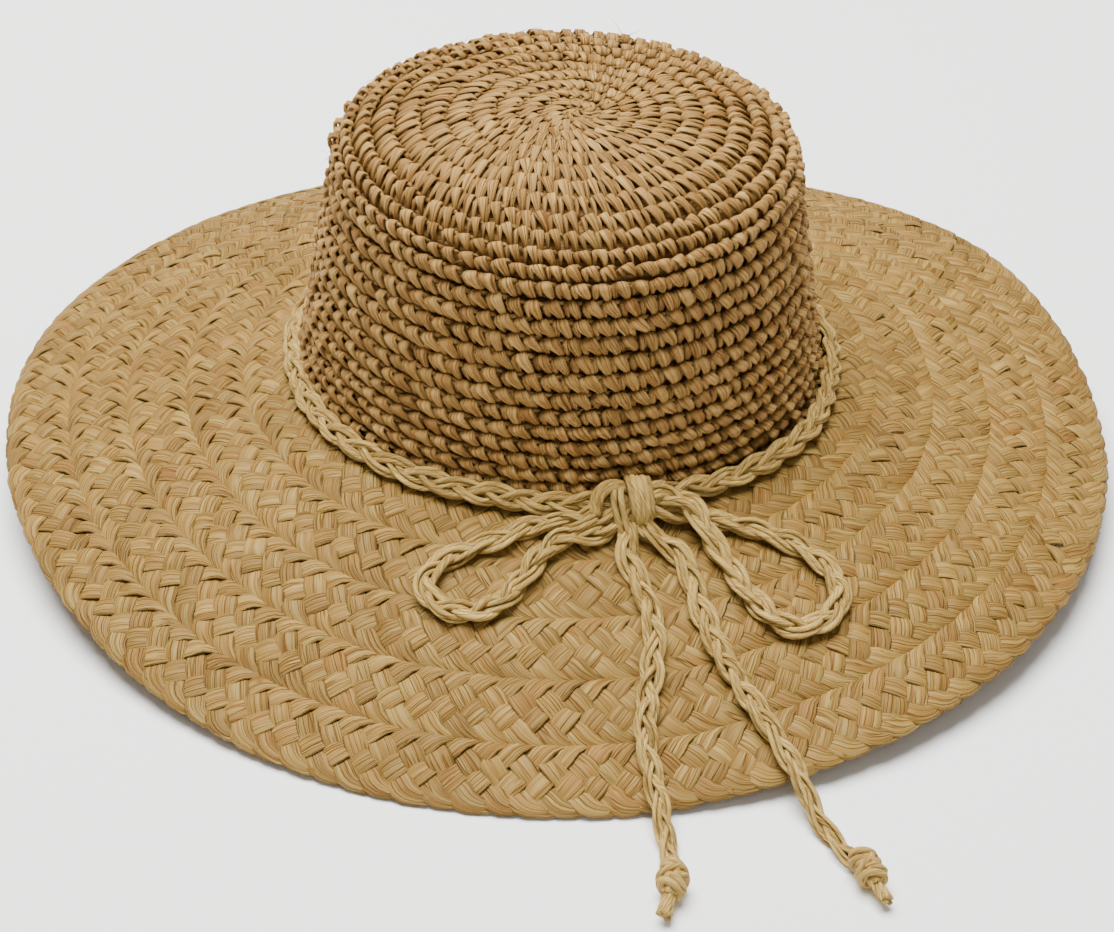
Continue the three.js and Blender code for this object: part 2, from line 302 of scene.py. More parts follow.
def distance_down_to(line, level):
    """How far from the tip a profile comes down to a height."""
    distance, _, height, *_ = line
    tip = len(distance) // 2
    return float(np.interp(-level, -height[tip:], distance[tip:]))


CROWN_LINE = crown_line(CROWN_ROUNDNESS, SHOULDER_HEIGHT)
FRONT_LINE = crown_line(
    FRONT_ROUNDNESS, FRONT_SHOULDER_HEIGHT, distance_down_to(CROWN_LINE, FRONT_SHOULDER_HEIGHT),
)


def on_crown(distance, angle, rise):
    """A point that stands off the crown's outer face at a distance from its tip."""
    in_front = np.clip(-np.sin(angle), 0, 1) ** FRONT_NEARNESS
    radius, height, out, up = (
        (1 - in_front) * np.interp(distance, CROWN_LINE[0], row)
        + in_front * np.interp(distance, FRONT_LINE[0], front_row)
        for row, front_row in zip(CROWN_LINE[1:], FRONT_LINE[1:])
    )
    r = radius + rise * out
    z = height + rise * up
    shift = TIP_SHIFT * np.clip(1 - np.abs(r) / SHOULDER_RADIUS, 0, 1) ** 2
    return np.stack([shift + r * np.cos(angle), r * np.sin(angle), z], -1)


# Straw: one strand is modelled, read, and laid many times


class Strand:
    """A modelled length of straw along X, with its rings, faces and pattern, ready to be copied."""

    def __init__(self, piece, rings):
        mesh = piece.data
        points = np.zeros(len(mesh.vertices) * 3)
        mesh.vertices.foreach_get("co", points)
        self.points = points.reshape(-1, 3)
        self.rings = rings
        self.ring = np.rint(self.points[:, 0] * (rings - 1)).astype(int)
        self.corners = np.zeros(len(mesh.loops), np.int64)
        mesh.loops.foreach_get("vertex_index", self.corners)
        self.starts = np.zeros(len(mesh.polygons), np.int64)
        mesh.polygons.foreach_get("loop_start", self.starts)
        self.pattern = self.read_pattern(mesh)
        bpy.data.objects.remove(piece)
        bpy.data.meshes.remove(mesh)

    def read_pattern(self, mesh):
        """Pattern coordinates of each face corner: turns around the strand, and its place along it."""
        along, right, up = self.points.T
        around = np.arctan2(up, right) / (2 * math.pi)
        pattern = np.stack([around[self.corners], along[self.corners]], -1)
        for face in mesh.polygons:
            corners = slice(face.loop_start, face.loop_start + face.loop_total)
            turns = pattern[corners, 0]
            if turns.max() - turns.min() > 0.5:
                pattern[corners, 0] = np.where(turns < 0, turns + 1, turns)
        return pattern


def start_primitive():
    if bpy.context.mode != "OBJECT":
        bpy.ops.object.mode_set(mode="OBJECT")
    bpy.ops.object.select_all(action="DESELECT")


def unit(vectors):
    return vectors / np.maximum(np.linalg.norm(vectors, axis=-1, keepdims=True), 1e-12)


def resize_where(piece, chosen, scale):
    """Resizes, about the origin, the points of the mesh in edit mode that a test picks."""
    bpy.ops.mesh.select_all(action="DESELECT")
    mesh = bmesh.from_edit_mesh(piece.data)
    for vertex in mesh.verts:
        vertex.select_set(chosen(vertex.co))
    bmesh.update_edit_mesh(piece.data)
    bpy.ops.transform.resize(value=scale, center_override=(0, 0, 0))


def straight_strand(sides, rings, groove):
    """A strand one unit long and one in radius, with rings along it and fibres grooved in."""
    start_primitive()
    bpy.ops.mesh.primitive_cylinder_add(
        vertices=sides, radius=1, depth=1, location=(0.5, 0, 0), rotation=(0, math.pi / 2, 0),
    )
    piece = bpy.context.active_object
    bpy.ops.object.transform_apply(location=True, rotation=True, scale=True)
    bpy.ops.object.mode_set(mode="EDIT")
    bpy.ops.mesh.select_mode(type="EDGE")
    bpy.ops.mesh.select_all(action="DESELECT")
    mesh = bmesh.from_edit_mesh(piece.data)
    for edge in mesh.edges:
        run = edge.verts[1].co - edge.verts[0].co
        edge.select_set(abs(run.x) > 1e-4)
    bmesh.update_edit_mesh(piece.data)
    bpy.ops.mesh.subdivide(number_cuts=rings - 2)
    bpy.ops.mesh.select_mode(type="VERT")
    resize_where(
        piece, lambda co: round(math.atan2(co.z, co.y) * sides / (2 * math.pi)) % 2 == 0,
        (1, groove, groove),
    )
    bpy.ops.object.mode_set(mode="OBJECT")
    return Strand(piece, rings)


def bent(strand, centre, side, up, half_width, half_depth, twist=0):
    """Copies of a straight strand bent along lines: one row of ring centres for each copy."""
    around = np.broadcast_to(twist, centre.shape[:2])[:, strand.ring]
    across = strand.points[:, 1] * np.cos(around) - strand.points[:, 2] * np.sin(around)
    deep = strand.points[:, 1] * np.sin(around) + strand.points[:, 2] * np.cos(around)
    wide = np.broadcast_to(half_width, centre.shape[:2])[:, strand.ring] * across
    thick = np.broadcast_to(half_depth, centre.shape[:2])[:, strand.ring] * deep
    return (
        centre[:, strand.ring]
        + side[:, strand.ring] * wide[..., None]
        + up[:, strand.ring] * thick[..., None]
    )


def stitch_leg(sides, route, across, half_depth):
    """One leg of a crochet stitch: straw that comes out of the work, folds over and goes back in.

    A row of route is a place across, up and out, and half the leg's width there. Across is the
    direction of its width. All are in stitch widths, but up is in heights of a round.
    """
    route = np.array(route, float)
    strand = straight_strand(sides, len(route), 0.86)
    centre = route[:, :3]
    along = unit(np.gradient(centre, axis=0))
    side = unit(np.array(across, float) - along * (along @ across)[:, None])
    up = np.cross(along, side)
    strand.points = bent(
        strand, centre[None], side[None], up[None], route[:, 3][None], half_depth,
    )[0]
    return strand


class Bundle:
    """Laid copies of strands that become one piece."""

    def __init__(self, seed):
        self.random = np.random.default_rng(seed)
        self.parts = []

    def add(self, strand, points, around, along, slant=0.0, tint=None, depth=0.0):
        """Adds copies. around and along are the strand's girth and length, for the fibre pattern.

        Slant winds the fibres around the strand, tint is light or dark for each copy, and depth is
        how deep each of its points lies in the work, from 0 to 1, which darkens it as painted shade.
        """
        count = len(points)
        if tint is None:
            tint = self.random.random(count)
        # A point's tint: its strand's own tone, less the painted shade of its depth
        tones_and_painted_shade = 0.3 + 0.7 * tint[:, None] - 0.5 * np.broadcast_to(depth, points.shape[:2])
        rust = np.broadcast_to(self.random.random(count)[:, None], tones_and_painted_shade.shape)
        self.parts.append((strand, points, (around, along), slant, tones_and_painted_shade, rust))

    def piece(self, name, material):
        """One mesh at the origin, with its pattern coordinates in millimetres and its tints, which hold
        painted shade.
        """
        co, corners, starts, pattern, tones_and_painted_shade, rusts = [], [], [], [], [], []
        vertex_count = corner_count = 0
        for strand, points, girth_and_length, slant, tint, rust in self.parts:
            count, size = points.shape[:2]
            co.append(points.reshape(-1, 3))
            shift = vertex_count + np.arange(count)[:, None] * size
            corners.append((strand.corners[None, :] + shift).ravel())
            shift = corner_count + np.arange(count)[:, None] * len(strand.corners)
            starts.append((strand.starts[None, :] + shift).ravel())
            place = self.random.random((count, 1, 2)) * 300
            wound = strand.pattern * np.array(girth_and_length) / MM
            wound[:, 0] += slant * wound[:, 1]
            pattern.append((wound[None] + place).reshape(-1, 2))
            tones_and_painted_shade.append(tint.ravel())
            rusts.append(rust.ravel())
            vertex_count += count * size
            corner_count += count * len(strand.corners)
        mesh = bpy.data.meshes.new(name)
        mesh.vertices.add(vertex_count)
        mesh.vertices.foreach_set("co", np.concatenate(co).astype(np.float32).ravel())
        mesh.loops.add(corner_count)
        mesh.loops.foreach_set("vertex_index", np.concatenate(corners).astype(np.int32))
        starts = np.concatenate(starts).astype(np.int32)
        mesh.polygons.add(len(starts))
        mesh.polygons.foreach_set("loop_start", starts)
        mesh.polygons.foreach_set("use_smooth", np.ones(len(starts), bool))
        mesh.update(calc_edges=True)
        layer = mesh.uv_layers.new(name="Fibre")
        layer.data.foreach_set("uv", np.concatenate(pattern).astype(np.float32).ravel())
        # The tint attribute holds each strand's own tone and its painted shade
        for label, values in (("tint", tones_and_painted_shade), ("rust", rusts)):
            attribute = mesh.attributes.new(label, "FLOAT", "POINT")
            attribute.data.foreach_set("value", np.concatenate(values).astype(np.float32))
        if mesh.validate():
            raise RuntimeError(f"{name} has faulty faces")
        piece = bpy.data.objects.new(name, mesh)
        bpy.context.scene.collection.objects.link(piece)
        mesh.materials.append(material)
        return piece


def seat(piece, slot, *nodes):
    """Seats a piece on the hat, in the place of its plain CAD solids."""
    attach(piece, "root")
    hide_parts(*nodes)


# Finishes


def add_node(tree, kind, output, inputs=None, stops=(), **settings):
    """Adds one node with its settings and links, and gives one of its outputs.

    An input is a plain value, or the output that feeds it. Stops are a ramp's places and colours.
    """
    node = tree.nodes.new(kind)
    for name, value in settings.items():
        setattr(node, name, value)
    for name, value in (inputs or {}).items():
        if isinstance(value, bpy.types.NodeSocket):
            tree.links.new(value, node.inputs[name])
        else:
            node.inputs[name].default_value = value
    if stops:
        elements = node.color_ramp.elements
        while len(elements) < len(stops):
            elements.new(0.5)
        for element, (position, colour) in zip(elements, stops):
            element.position = position
            element.color = colour
    return node.outputs[output]


def fibre_patterns(tree, fibre):
    """Patterns along the strand: its streaks, its hairs, and wide and fine waves for its creases."""
    strand = add_node(tree, "ShaderNodeUVMap", "UV", uv_map="Fibre")
    patterns = []
    # How wide and how long a patch of each is, in fibre widths, its detail and its roughness
    for width, run, detail, grain in (
        (1, 30, 3.0, 0.6), (1 / 3.2, 20, 2.0, 0.5), (1.5, 45, 0.0, 0.5), (0.7, 30, 0.0, 0.5),
    ):
        where = add_node(
            tree, "ShaderNodeMapping", "Vector",
            {"Vector": strand, "Scale": (1 / (width * fibre), 1 / (run * fibre), 1)},
        )
        patterns.append(add_node(
            tree, "ShaderNodeTexNoise", "Fac",
            {"Vector": where, "Scale": 1.0, "Detail": detail, "Roughness": grain},
            noise_dimensions="2D",
        ))
    return patterns


def crease_line(tree, wave):
    """A thin line, 0 in its middle and 1 beside it, where a wave crosses its mean."""
    away = add_node(tree, "ShaderNodeMath", "Value", {0: wave, 1: 0.5}, operation="SUBTRACT")
    away = add_node(tree, "ShaderNodeMath", "Value", {0: away}, operation="ABSOLUTE")
    return add_node(
        tree, "ShaderNodeMapRange", "Result",
        {"Value": away, "From Min": 0.0, "From Max": 0.04, "To Min": 0.0, "To Max": 1.0},
        interpolation_type="SMOOTHSTEP",
    )


def raffia_colour(tree, middle, pale, dark, rust_share, streaks, hairs, creases):
    """The leaf's own tones along its fibres, then what differs from strand to strand, with painted shade
    where straw goes into the work and in the creases.
    """
    tint = add_node(tree, "ShaderNodeAttribute", "Fac", attribute_name="tint")
    rust = add_node(tree, "ShaderNodeAttribute", "Fac", attribute_name="rust")
    wide, fine = creases
    white = (1, 1, 1, 1)
    leaf, shade, reddish, along_fibres, wide_crease_shade, fine_crease_shade = (
        add_node(tree, "ShaderNodeValToRGB", "Color", {"Fac": source}, stops=stops)
        for source, stops in (
            (streaks, [(0.28, dark), (0.44, middle), (0.68, pale)]),
            # Each strand is a little lighter or darker than its neighbours, and dark brown, as painted
            # shade, where it goes into the work
            (tint, [
                (0.0, (0.42, 0.33, 0.24, 1)), (0.3, (0.78, 0.75, 0.70, 1)),
                (0.65, (0.97, 0.97, 0.96, 1)), (1.0, (1.10, 1.11, 1.12, 1)),
            ]),
            # Some strands dried reddish, most of all along a few of their fibres
            (rust, [(1 - rust_share, (0.04, 0.04, 0.04, 1)), (1.0, (0.5, 0.5, 0.5, 1))]),
            (hairs, [(0.40, white), (0.62, (0.2, 0.2, 0.2, 1))]),
            # Where the leaf folded as it dried, it has thin creases along the fibres, painted darker as
            # the shade in them
            (wide, [(0.0, (0.66, 0.56, 0.38, 1)), (1.0, white)]),
            (fine, [(0.0, (0.80, 0.73, 0.60, 1)), (1.0, white)]),
        )
    )
    # A mix of colours takes its share at input 0 and its colours at 6 and 7, and gives output 2
    rusted = add_node(
        tree, "ShaderNodeMix", 2, {0: 1.0, 6: reddish, 7: along_fibres}, data_type="RGBA",
        blend_type="MULTIPLY",
    )
    colour = leaf
    for blend, share, layer in (
        ("MULTIPLY", 1.0, shade), ("MIX", rusted, tuple(colours().rust)),
        ("MULTIPLY", 1.0, wide_crease_shade), ("MULTIPLY", 1.0, fine_crease_shade),
    ):
        colour = add_node(
            tree, "ShaderNodeMix", 2, {0: share, 6: colour, 7: layer}, data_type="RGBA",
            blend_type=blend,
        )
    return colour


def raffia(name, middle, pale, dark, rust_share, fibre, relief, roughness):
    """Dried palm leaf, split and twisted: long fibres with a dull waxy shine.

    Fibre is the width of one fibre in millimetres, and relief how deep the grooves between them are.
    The eye sees pale and dark streaks along each strand, and no two strands quite alike.
    """
    material = bpy.data.materials.new(name)
    material.use_nodes = True
    tree = material.node_tree
    shader = tree.nodes["Principled BSDF"]
    streaks, hairs, *waves = fibre_patterns(tree, fibre)
    wide, fine = (crease_line(tree, wave) for wave in waves)
    colour = raffia_colour(tree, middle, pale, dark, rust_share, streaks, hairs, (wide, fine))
    # The creases sink, and finer lines run between them
    height = add_node(
        tree, "ShaderNodeMath", "Value", {0: fine, 1: 0.5, 2: wide}, operation="MULTIPLY_ADD",
    )
    height = add_node(
        tree, "ShaderNodeMath", "Value", {0: hairs, 1: 0.8, 2: height}, operation="MULTIPLY_ADD",
    )
    bump = add_node(
        tree, "ShaderNodeBump", "Normal",
        {"Height": height, "Strength": 1.0, "Distance": relief * MM},
    )
    # The pale fibres are the smooth outer skin of the leaf, so they shine a little more
    shine = add_node(tree, "ShaderNodeMapRange", "Result", {
        "Value": streaks, "From Min": 0.3, "From Max": 0.7, "To Min": roughness + 0.1,
        "To Max": roughness - 0.1,
    })
    for socket, source in (("Base Color", colour), ("Normal", bump), ("Roughness", shine)):
        tree.links.new(source, shader.inputs[socket])
    shader.inputs["Specular IOR Level"].default_value = 0.2
    return material


def matt_paper(name, colour):
    """Seamless studio paper: even, matt and pale, so the hat's own shadow reads on it."""
    material = bpy.data.materials.new(name)
    material.use_nodes = True
    shader = material.node_tree.nodes["Principled BSDF"]
    for socket, value in (("Base Color", colour), ("Roughness", 0.9), ("Specular IOR Level", 0.1)):
        shader.inputs[socket].default_value = value
    return material


def straw(kind):
    """The finish of one part of the hat, made once."""
    name = f"raffia_{kind}"
    if name in bpy.data.materials:
        return bpy.data.materials[name]
    tones = [tuple(getattr(colours(), key)) for key in (kind, f"{kind}_pale", f"{kind}_dark")]
    rust_share, fibre, relief, roughness = {
        "brim": (0.2, 1.15, 0.35, 0.6),
        "crown": (0.25, 0.8, 0.35, 0.62),
        "tie": (0.1, 0.7, 0.3, 0.62),
    }[kind]
    return raffia(name, *tones, rust_share, fibre, relief, roughness)


# Lines that the tie follows


def smooth_line(rows, step):
    """Even points, a step apart, on a smooth curve through the rows."""
    rows = np.array(rows, float) * MM
    ends = np.concatenate([[2 * rows[0] - rows[1]], rows, [2 * rows[-1] - rows[-2]]])
    t = np.linspace(0, 1, 12, endpoint=False)[:, None]
    spans = []
    for before, start, end, after in zip(ends, ends[1:], ends[2:], ends[3:]):
        spans.append(0.5 * (
            2 * start + (end - before) * t + (2 * before - 5 * start + 4 * end - after) * t**2
            + (3 * start - before - 3 * end + after) * t**3
        ))
    line = np.concatenate([*spans, rows[-1:]])
    return even_line(line, step)


def places_along(line):
    """How far each point of a line is from its start, along it."""
    return np.concatenate([[0], np.cumsum(np.linalg.norm(np.diff(line, axis=0), axis=1))])


def even_line(line, step):
    run = places_along(line)
    places = np.linspace(0, run[-1], max(3, round(run[-1] / step) + 1))
    return np.stack([np.interp(places, run, line[:, k]) for k in range(3)], -1)


def line_length(line):
    return float(np.linalg.norm(np.diff(line, axis=0), axis=1).sum())


def brim_up(line):
    """The direction square to the brim at each point of a line."""
    radius = np.hypot(line[:, 0], line[:, 1])
    angle = np.arctan2(line[:, 1], line[:, 0])
    slope = brim_slope(radius, angle)
    return unit(np.stack([-slope * np.cos(angle), -slope * np.sin(angle), np.ones(len(line))], -1))


def add_plies(bundle, lines, across, up, half_width, half_depth, spots=((0, 0),), twist=0):
    """Thin plies along a line or several. Spots are each ply's place across and up, in metres."""
    lines = lines if lines.ndim == 3 else lines[None]
    across, up = np.broadcast_to(across, lines.shape), np.broadcast_to(up, lines.shape)
    twist = np.broadcast_to(twist, lines.shape[:2])
    cos, sin = np.cos(twist), np.sin(twist)
    count, rings = lines.shape[:2]
    ply = straight_strand(8, rings, 0.9)
    run = line_length(lines[0])
    random = bundle.random
    for spot_across, spot_up in spots:
        shift_across = cos * spot_across - sin * spot_up
        shift_up = sin * spot_across + cos * spot_up
        start = random.uniform(0, 2 * math.pi, (count, 1))
        waver = PLY_WAVER * np.sin(start + np.linspace(0, run / PLY_WAVER_RUN, rings))
        centre = lines + across * (shift_across + waver)[..., None] + up * shift_up[..., None]
        swell = PLY_SWELL * np.sin(3 * start + np.linspace(0, run / PLY_SWELL_RUN, rings))
        size = random.normal(1, 0.09, (count, 1)) * (1 + swell)
        points = bent(
            ply, centre, across, up, half_width * size, half_depth * size, twist=start + twist * 2,
        )
        bundle.add(ply, points, 6 * float(np.mean(half_width)), run, slant=0.45)


def add_plait(bundle, line, up, half_width, half_depth, pitch, start=0.0, tightness=1.0):
    """Three strands, each of three plies, plaited flat along a line; up is square to the flat side."""
    along = unit(np.gradient(line, axis=0))
    up = unit(up - along * np.sum(up * along, axis=1)[:, None])
    side = np.cross(up, along)
    run = places_along(line)
    narrow = np.broadcast_to(tightness, len(line))
    size = sizes()
    # The three plies of a strand lie in each other's hollows
    strand_width = 1.62 * size.ply_half_width
    strand_depth = 1.5 * size.ply_half_depth
    centres, sides, ups = [], [], []
    for k in range(3):
        uneven = PLAIT_UNEVENNESS * np.sin(run / PLAIT_UNEVENNESS_RUN + start)
        turn = 2 * math.pi * (run / pitch + k / 3) + start + uneven
        sway = (half_width - strand_width) * narrow * np.sin(turn)
        rise = (half_depth - strand_depth) * narrow * np.sin(2 * turn)
        centre = line + side * sway[:, None] + up * rise[:, None]
        heading = unit(np.gradient(centre, axis=0))
        across = unit(np.cross(up, heading))
        centres.append(centre)
        sides.append(across)
        ups.append(np.cross(heading, across))
    spots = [
        (1.15 * size.ply_half_width * math.cos(a), 0.85 * size.ply_half_depth * math.sin(a))
        for a in (STRAND_START + 2 * math.pi * k / 3 for k in range(3))
    ]
    twist = run / STRAND_WINDING + np.arange(3)[:, None] * 1.3
    add_plies(
        bundle, np.array(centres), np.array(sides), np.array(ups), size.ply_half_width * narrow,
        size.ply_half_depth * narrow, spots, twist,
    )


def add_loose_fibres(bundle, feet, headings, ups):
    """Fine fibres that came loose: each leaves the work at its foot and curls away."""
    fibre = straight_strand(3, 7, 1)
    random = bundle.random
    t = np.linspace(0, 1, fibre.rings)[None, :, None]
    length, lift, sway = (
        random.uniform(low, high, (len(feet), 1, 1))
        for low, high in ((4 * MM, 11 * MM), (0.1, 0.5), (-0.5, 0.5))
    )
    sides = np.cross(ups, headings)
    centre = feet[:, None] + length * (
        t * headings[:, None] + lift * t * (1 - 0.5 * t) * ups[:, None] + sway * t**2 * sides[:, None]
    )
    along = unit(np.gradient(centre, axis=1))
    across = unit(np.cross(ups[:, None], along))
    half = 0.17 * MM * (1 - 0.75 * t[..., 0])
    points = bent(fibre, centre, across, np.cross(along, across), half, half)
    bundle.add(fibre, points, 1 * MM, 8 * MM)


# The makers: each lays one piece, or a group of like pieces


class RAFFIA_OT_stage(bpy.types.Operator):
    """Adds the camera, the pale floor and the soft studio light"""

    bl_idname = "raffia_hat.stage"
    bl_label = "Stage"

    # The camera: height over the horizon, roll, distance from its aim and where the aim lies
    elevation = math.radians(35.07)
    roll = math.radians(1.614)
    distance = 1.0
    aim = Vector((0, 0, 11.5 * MM))
    lens = 83.27
    # Where the camera's axis meets the picture, in shares of its width from the middle
    axis_right = 1.98 / 1114
    axis_up = 46.27 / 1114
    # The even light from all round, and the lamps: name, place, width in metres and power in watts
    surround_colour = "FFFCF4"
    surround_strength = 0.27
    lamps = (
        ("key_light", (-0.25, 0.3, 1.88), 1.7, 124),
        ("fill_light", (0.3, -1.6, 1.3), 1.4, 5),
    )
    lamps_aim = Vector((0, 0, 50 * MM))

    def execute(self, context):
        self.add_camera(context)
        start_primitive()
        bpy.ops.mesh.primitive_plane_add(size=sizes().floor_size)
        floor = context.active_object
        floor.name = "floor"
        floor.data.materials.append(matt_paper("studio_paper", tuple(colours().floor)))
        self.add_lights(context)
        return {"FINISHED"}

    def add_camera(self, context):
        data = bpy.data.cameras.new("camera")
        data.sensor_fit = "HORIZONTAL"
        data.sensor_width = 36
        data.lens = self.lens
        data.shift_x = -self.axis_right
        data.shift_y = -self.axis_up
        data.clip_start = 0.05
        data.clip_end = 50
        back = Vector((0, -math.cos(self.elevation), math.sin(self.elevation)))
        right = Vector((1, 0, 0))
        up = back.cross(right)
        cos, sin = math.cos(self.roll), math.sin(self.roll)
        turned = Matrix((cos * right + sin * up, cos * up - sin * right, back)).transposed()
        camera = bpy.data.objects.new("camera", data)
        camera.matrix_world = Matrix.Translation(self.aim + back * self.distance) @ turned.to_4x4()
        context.scene.collection.objects.link(camera)
        context.scene.camera = camera

    def add_lights(self, context):
        world = bpy.data.worlds.new("studio")
        world.use_nodes = True
        background = world.node_tree.nodes["Background"]
        background.inputs["Color"].default_value = linear(self.surround_colour)
        background.inputs["Strength"].default_value = self.surround_strength
        context.scene.world = world
        for name, place, size, power in self.lamps:
            bpy.ops.object.select_all(action="DESELECT")
            bpy.ops.object.light_add(type="AREA", location=place)
            light = context.active_object
            light.name = name
            light.data.shape = "DISK"
            light.data.size = size
            light.data.energy = power
            towards_hat = self.lamps_aim - Vector(place)
            light.rotation_euler = towards_hat.to_track_quat("-Z", "Y").to_euler()


class RAFFIA_OT_end_knots(bpy.types.Operator):
    """Ties the overhand knot, with its tuft of cut ends, at the end of each tail"""

    bl_idname = "raffia_hat.end_knots"
    bl_label = "End knots"

    # Wraps of each knot: place along it, tilt and how far out they run, in millimetres and degrees
    wraps = ((-3.0, 30, 3.5), (0.2, -28, 4.0), (2.9, 24, 3.7), (0.2, 66, 3.4))
    # The two plies of a wrap lie side by side, and its ends lap by this much, in radians
    wrap_spots = ((-1.1 * MM, 0), (1.1 * MM, 0))
    wrap_ply = (1.25 * MM, 1.45 * MM)
    wrap_lap = 0.15
    # The straw that the wraps close round: where it starts and ends along the knot, and its plies
    core_ends = (-5.5 * MM, 6.5 * MM)
    core_radius = 1.2 * MM
    core_angles = (0, 1.26, 2.51, 3.77, 5.03)
    core_ply = (1.3 * MM, 1.3 * MM)
    # The tuft: its cut ends, each this share of a turn from the last, its radius and its start
    tuft_ends = 9
    tuft_turn = 0.382
    # It is flatter than it is wide
    tuft_flatness = 0.75
    tuft_radius = 2.1 * MM
    tuft_start = 3 * MM
    tuft_ply = (1.0 * MM, 0.8 * MM)

    def execute(self, context):
        for order, (cord, (centre, tip)) in enumerate(END_KNOTS.items()):
            bundle = Bundle(sizes().seed + 50 + order)
            self.tie(bundle, np.array(centre) * MM, np.array(tip) * MM)
            piece = bundle.piece(cord.replace("tail", "end_knot"), straw("tie"))
            seat(piece, "tie_raffia", cord.replace("tail", "tail_knot"))
        return {"FINISHED"}

    def tie(self, bundle, centre, tip):
        along = unit(tip - centre)
        side = unit(np.cross(along, [0, 0, 1.0]))
        up = np.cross(side, along)
        for place_along, tilt, out in self.wraps:
            lean = math.radians(tilt)
            axis = along * math.cos(lean) + side * math.sin(lean)
            first = unit(np.cross(axis, up))
            second = np.cross(axis, first)
            turn = np.linspace(-self.wrap_lap, 2 * math.pi + self.wrap_lap, 31)[:, None]
            outward = np.cos(turn) * first + np.sin(turn) * second
            ring = centre + along * place_along * MM + out * MM * outward
            add_plies(
                bundle, ring, axis, outward, *self.wrap_ply, self.wrap_spots, 0.25 * np.sin(turn.T),
            )
        core = centre + along * np.linspace(*self.core_ends, 9)[:, None]
        spots = [
            (self.core_radius * math.cos(a), self.core_radius * math.sin(a)) for a in self.core_angles
        ]
        add_plies(bundle, core, side, up, *self.core_ply, spots)
        self.fray(bundle, centre, tip, along, side, up)

    def fray(self, bundle, centre, tip, along, side, up):
        """The cut ends stay together past the knot, in a short blunt tuft."""
        reach = np.linspace(0, 1, 9)[:, None]
        length = np.linalg.norm(tip - centre)
        for k in range(self.tuft_ends):
            turn = 2 * math.pi * k * self.tuft_turn
            spread = self.tuft_radius * math.sqrt((k + 0.3) / self.tuft_ends)
            out = side * math.cos(turn) * spread + up * math.sin(turn) * self.tuft_flatness * spread
            stretch = length * bundle.random.uniform(0.9, 1.0)
            line = (
                centre + along * (self.tuft_start + (stretch - self.tuft_start) * reach)
                + out * (0.6 + 0.4 * reach)
            )
            add_plies(bundle, line, side, up, *self.tuft_ply)


class RAFFIA_OT_free_cords(bpy.types.Operator):
    """Plaits the two loops of the bow and its two tails"""

    bl_idname = "raffia_hat.free_cords"
    bl_label = "Bow loops and tails"

    step = 1.9 * MM
    # How much tighter a tail is drawn at its end knot, and where along it that starts and is full
    end_draw = 0.28
    draw_start = 0.45
    draw_full = 0.95

    def execute(self, context):
        for order, (name, rows) in enumerate(ROUTES.items()):
            self.plait(name, rows, order)
        return {"FINISHED"}

    def plait(self, name, rows, order):
        line = smooth_line(rows, self.step)
        tail = name in END_KNOTS
        drawn = np.interp(np.linspace(0, 1, len(line)), [self.draw_start, self.draw_full], [0, 1])
        tightness = 1 - self.end_draw * drawn if tail else 1
        bundle = Bundle(sizes().seed + 10 + order)
        add_plait(
            bundle, line, brim_up(line), sizes().plait_half_width,
            sizes().plait_half_depth, sizes().plait_pitch, start=0.7 * order, tightness=tightness,
        )
        piece = bundle.piece(f"plaited_{name}", straw("tie"))
        seat(piece, "tie_raffia", name)


class RAFFIA_OT_tie_band(bpy.types.Operator):
    """Plaits the part of the tie that rounds the crown"""

    bl_idname = "raffia_hat.tie_band"
    bl_label = "Tie round the crown"

    lengths = 4
    step = 1.9 * MM
    # The plait lies a little wider and flatter here than in the free cords
    wider = 1.04
    flatter = 0.86
    loose_fibres = 40

    def execute(self, context):
        first = KNOT_ANGLE + KNOT_OPENING
        sweep = 2 * math.pi - 2 * KNOT_OPENING
        count = round(sweep * BAND_RADIUS / self.step / self.lengths) * self.lengths + 1
        angle = first + sweep * np.linspace(0, 1, count)
        # The slack is gone 60 degrees to both sides of its middle
        away = np.mod(angle - BAND_SLACK_ANGLE + math.pi, 2 * math.pi) - math.pi
        slack = BAND_SLACK * np.cos(np.clip(away * 1.5, -math.pi / 2, math.pi / 2)) ** 2
        # Tied by hand, it isn't quite round
        wander = 0.35 * MM * np.sin(angle * 7) + 0.25 * MM * np.sin(angle * 12 + 1)
        radius = BAND_RADIUS + slack + wander
        line = np.stack([
            radius * np.cos(angle), radius * np.sin(angle), np.full(count, BAND_HEIGHT),
        ], -1)
        cos, sin = math.cos(BAND_LEAN), math.sin(BAND_LEAN)
        up = np.stack([sin * np.cos(angle), sin * np.sin(angle), np.full(count, cos)], -1)
        bundle = Bundle(sizes().seed + 20)
        per_length = (count - 1) // self.lengths
        pitch = sweep * BAND_RADIUS / round(sweep * BAND_RADIUS / sizes().plait_pitch)
        for k in range(self.lengths):
            part = slice(k * per_length, (k + 1) * per_length + 1)
            run = k * per_length * line_length(line) / (count - 1)
            add_plait(
                bundle, line[part], up[part], sizes().plait_half_width * self.wider,
                sizes().plait_half_depth * self.flatter, pitch, start=2 * math.pi * run / pitch,
            )
        picked = bundle.random.choice(count - 2, self.loose_fibres, replace=False) + 1
        headings = unit(line[picked + 1] - line[picked - 1] + 0.5 * MM * up[picked])
        add_loose_fibres(bundle, line[picked] + 1.5 * MM * up[picked], headings, up[picked])
        seat(bundle.piece("plaited_tie_band", straw("tie")), "tie_raffia", "tie_band")
        return {"FINISHED"}


